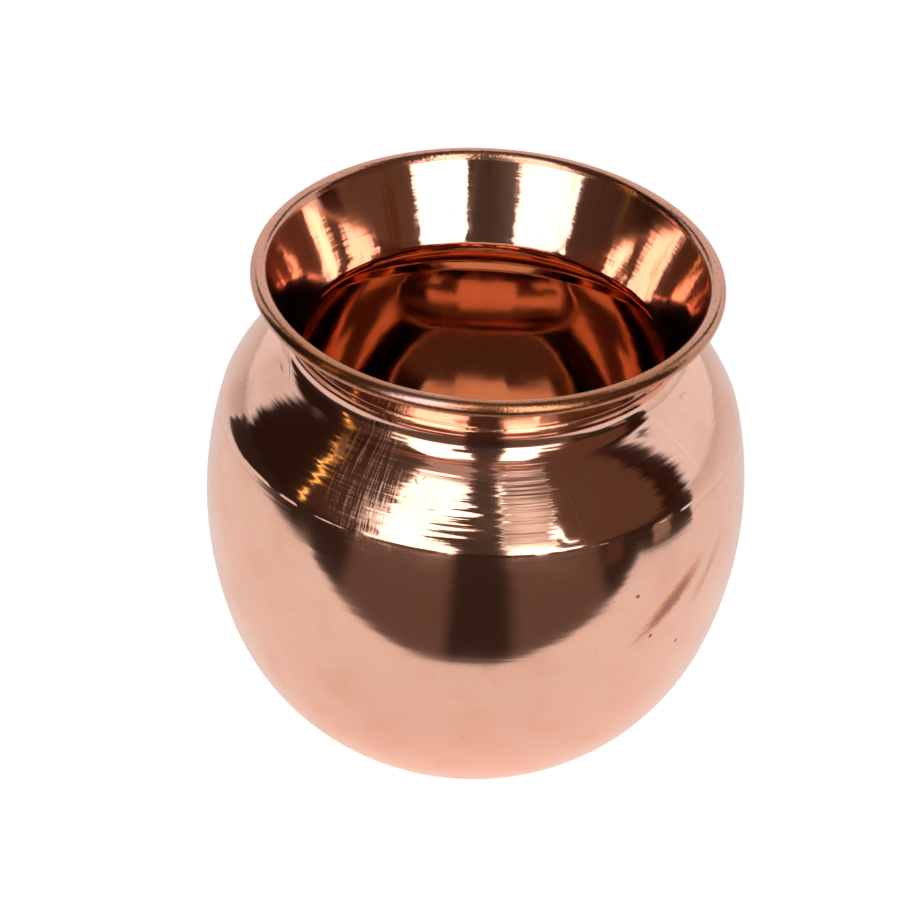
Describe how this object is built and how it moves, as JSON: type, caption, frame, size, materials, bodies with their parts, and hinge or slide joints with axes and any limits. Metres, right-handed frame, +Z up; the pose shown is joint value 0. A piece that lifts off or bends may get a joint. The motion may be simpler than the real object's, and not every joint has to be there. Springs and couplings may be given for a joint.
{
  "type": "copper kalash",
  "caption": "Round-bellied copper water pot with a creased shoulder, a short neck and a flared mouth with a rolled, wired rim.",
  "frame": {"origin": "centre of the flat foot, where the pot stands", "axes": "+Z up along the pot's axis, out of its mouth; X and Y are alike, because every piece is round"},
  "size_m": [0.128, 0.128, 0.1262],
  "materials": {
    "copper_body": "polished spun copper with spinning marks, fine scratches and light tarnish",
    "copper_collar": "polished spun copper, darker and pitted on the rolled rim",
    "rim_wire": "drawn steel wire",
    "brazing_alloy": "copper-phosphorus brazing alloy, ground and polished with the copper"
  },
  "bodies": {
    "root": {"bowl": "copper_body", "shoulder": "copper_body", "collar": "copper_collar", "rim_wire": "rim_wire", "neck_braze": "brazing_alloy", "crease_braze": "brazing_alloy"}
  },
  "joints": []
}
